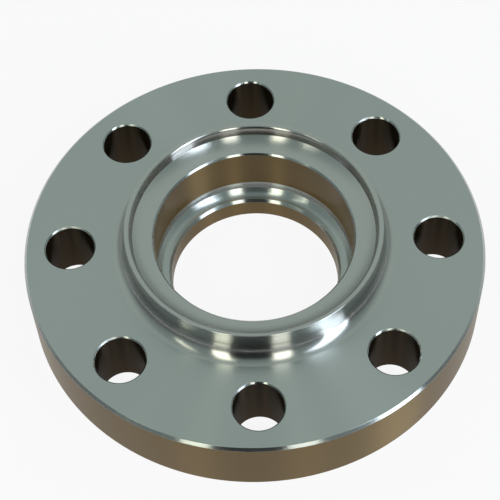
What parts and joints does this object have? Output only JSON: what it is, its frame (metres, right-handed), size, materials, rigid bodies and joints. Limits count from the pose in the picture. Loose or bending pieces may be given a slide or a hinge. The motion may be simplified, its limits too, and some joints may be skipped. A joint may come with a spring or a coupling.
{
  "type": "socket weld flange",
  "caption": "Forged steel pipe flange with a bolt circle, a raised gasket face and a hub whose socket takes a welded pipe.",
  "frame": {"origin": "centre of the gasket face, which is the underside that the flange rests on", "axes": "+Z along the bore, from the gasket face to the hub's lip; +X through the centre of a bolt hole"},
  "size_m": [0.2096, 0.2096, 0.0475],
  "materials": {
    "steel": "bright machined steel with fine concentric turning marks"
  },
  "bodies": {
    "root": {"flange": "steel"}
  },
  "joints": []
}
